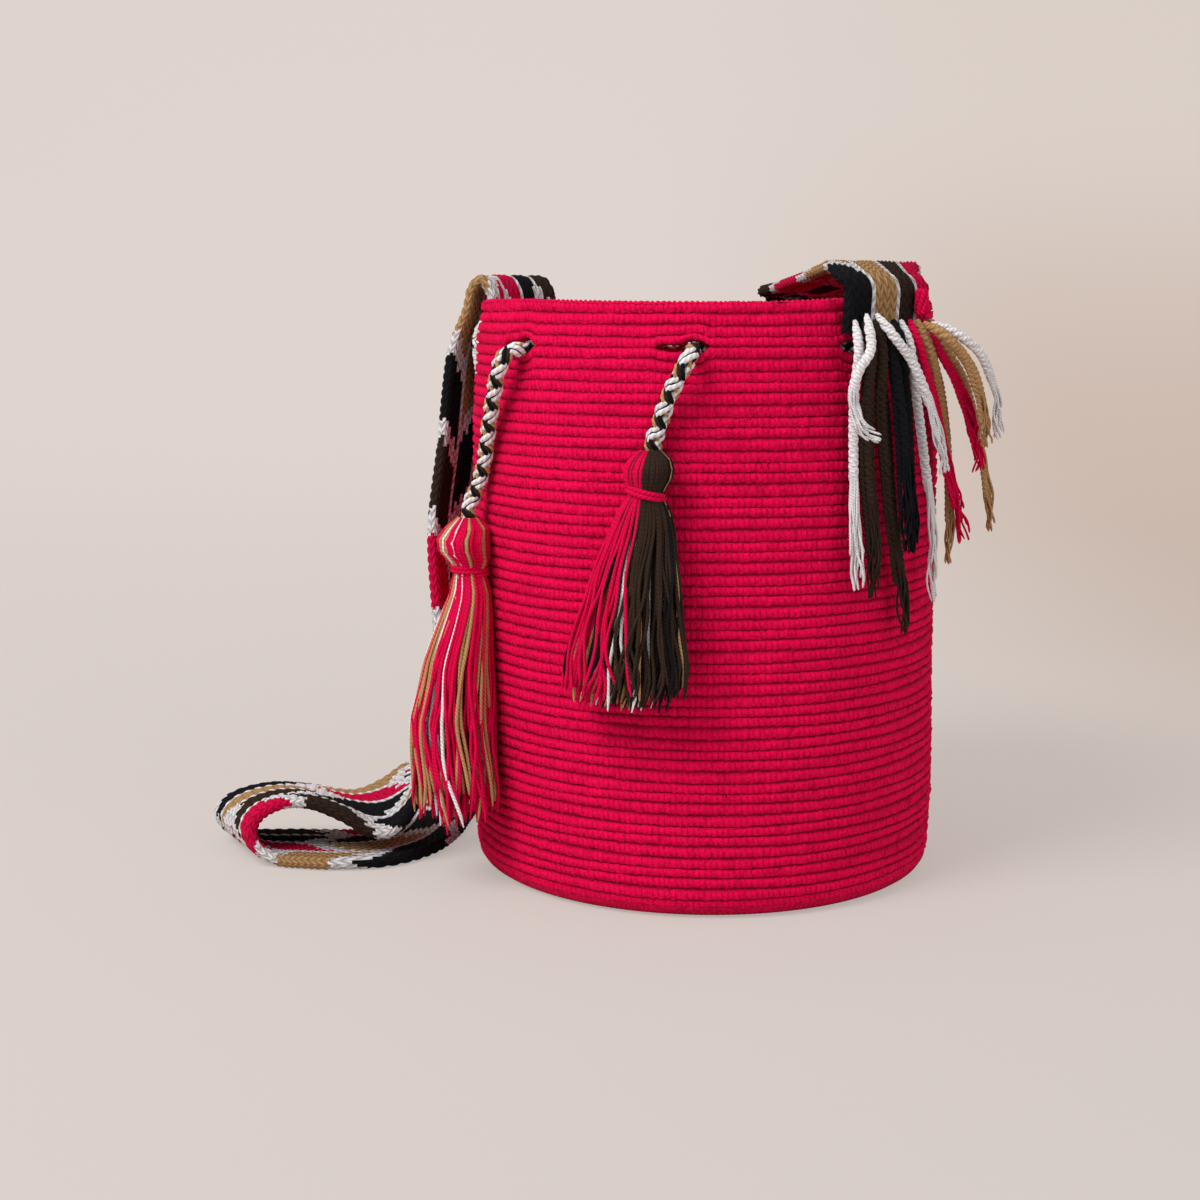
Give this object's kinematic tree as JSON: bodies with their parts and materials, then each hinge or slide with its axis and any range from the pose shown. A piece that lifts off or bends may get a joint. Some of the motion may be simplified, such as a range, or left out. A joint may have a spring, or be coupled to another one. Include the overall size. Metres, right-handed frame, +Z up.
{
  "type": "crocheted bucket bag",
  "caption": "Crocheted cylindrical bucket bag with a laced braided drawstring, two tassels and a woven shoulder strap with fringed ends.",
  "frame": {"origin": "centre of the bag's flat underside, on the surface it stands on", "axes": "+Z up through the mouth, -Y to the side where the two tassels hang, +X and -X to the two strap seams"},
  "size_m": [0.4074, 0.3515, 0.3252],
  "materials": {
    "body_yarn": "matte spun acrylic and cotton yarn",
    "drawstring_braid": "matte spun acrylic and cotton yarn",
    "left_tassel_yarn": "matte spun acrylic and cotton yarn",
    "right_tassel_yarn": "matte spun acrylic and cotton yarn",
    "tie_yarn": "matte spun acrylic and cotton yarn",
    "strap_weave": "matte spun acrylic and cotton yarn",
    "seam_thread": "matte spun acrylic and cotton yarn",
    "red_yarn": "matte spun acrylic and cotton yarn",
    "white_yarn": "matte spun acrylic and cotton yarn",
    "brown_yarn": "matte spun acrylic and cotton yarn",
    "black_yarn": "matte spun acrylic and cotton yarn",
    "tan_yarn": "matte spun acrylic and cotton yarn"
  },
  "bodies": {
    "root": {"bag_body": "body_yarn", "drawstring": "drawstring_braid", "left_tassel": "left_tassel_yarn", "right_tassel": "right_tassel_yarn", "left_tassel_tie": "tie_yarn", "right_tassel_tie": "tie_yarn", "shoulder_strap": "strap_weave", "left_seam_stitching": "seam_thread", "right_seam_stitching": "seam_thread", "strap_end_knot": "red_yarn", "tail_white_1": "white_yarn", "tail_white_2": "white_yarn", "tail_white_3": "white_yarn", "tail_white_4": "white_yarn", "tail_white_5": "white_yarn", "tail_brown_1": "brown_yarn", "tail_brown_2": "brown_yarn", "tail_black_1": "black_yarn", "tail_black_2": "black_yarn", "tail_red_1": "red_yarn", "tail_red_2": "red_yarn", "tail_tan_1": "tan_yarn", "tail_tan_2": "tan_yarn", "tail_tan_3": "tan_yarn", "tail_white_6": "white_yarn", "tail_brown_3": "brown_yarn", "tail_black_3": "black_yarn", "tail_black_4": "black_yarn", "tail_red_3": "red_yarn", "tail_tan_4": "tan_yarn"}
  },
  "joints": []
}
